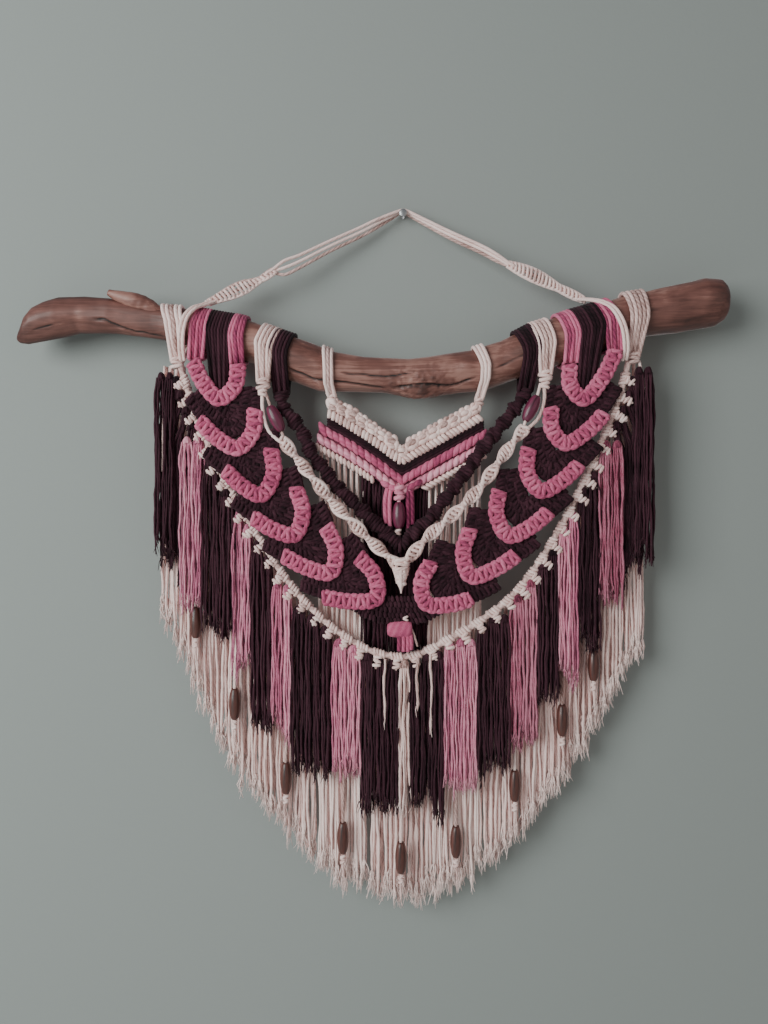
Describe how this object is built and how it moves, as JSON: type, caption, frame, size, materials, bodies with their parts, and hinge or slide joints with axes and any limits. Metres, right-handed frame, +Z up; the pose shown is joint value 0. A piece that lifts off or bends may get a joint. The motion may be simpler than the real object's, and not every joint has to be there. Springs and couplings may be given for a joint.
{
  "type": "macrame wall hanging on a driftwood branch",
  "caption": "Macrame wall hanging of cream, pink and aubergine cotton cord on a driftwood branch, with leaf-shaped knots, a bead-trimmed fringe and a nail that it hangs from.",
  "frame": {"origin": "on the nail's axis, in the plane of the wall", "axes": "+X to the right as seen from the front, +Y into the wall, +Z up"},
  "size_m": [0.752, 0.077, 0.7564],
  "materials": {
    "driftwood": "varnished",
    "steel": "plain",
    "brown_wood": "varnished",
    "plum_wood": "painted and glossy",
    "cream_cord": "matt cotton",
    "rose_cord": "matt cotton",
    "pink_cord": "matt cotton",
    "aubergine_cord": "matt cotton"
  },
  "bodies": {
    "root": {"brown_bead_1": "brown_wood", "brown_bead_2": "brown_wood", "brown_bead_3": "brown_wood", "brown_bead_4": "brown_wood", "brown_bead_5": "brown_wood", "brown_bead_6": "brown_wood", "brown_bead_7": "brown_wood", "brown_bead_8": "brown_wood", "brown_bead_9": "brown_wood", "chevron_band": "cream_cord", "chevron_cream_row_left": "cream_cord", "chevron_cream_row_right": "cream_cord", "chevron_dark_row": "aubergine_cord", "chevron_pink_row": "pink_cord", "chevron_rose_row": "rose_cord", "dark_curtain": "aubergine_cord", "dark_v": "aubergine_cord", "driftwood_branch": "driftwood", "fringe_centre_left": "cream_cord", "fringe_centre_right": "cream_cord", "fringe_middle": "cream_cord", "fringe_outer_left": "cream_cord", "fringe_outer_right": "cream_cord", "hanging_cord": "cream_cord", "leaf_chain_left": "rose_cord", "leaf_chain_right": "rose_cord", "leaf_join": "aubergine_cord", "leaf_tab": "rose_cord", "nail": "steel", "plum_bead_centre": "plum_wood", "plum_bead_left": "plum_wood", "plum_bead_right": "plum_wood", "spiral_v": "cream_cord", "swag_cord": "cream_cord", "tassel_01": "aubergine_cord", "tassel_02": "rose_cord", "tassel_03": "aubergine_cord", "tassel_04": "rose_cord", "tassel_05": "aubergine_cord", "tassel_06": "pink_cord", "tassel_07": "aubergine_cord", "tassel_08": "pink_cord", "tassel_09": "aubergine_cord", "tassel_10": "cream_cord", "tassel_11": "aubergine_cord", "tassel_12": "pink_cord", "tassel_13": "aubergine_cord", "tassel_14": "rose_cord", "tassel_15": "aubergine_cord", "tassel_16": "pink_cord", "tassel_17": "aubergine_cord", "tassel_18": "rose_cord", "tassel_19": "aubergine_cord"}
  },
  "joints": []
}
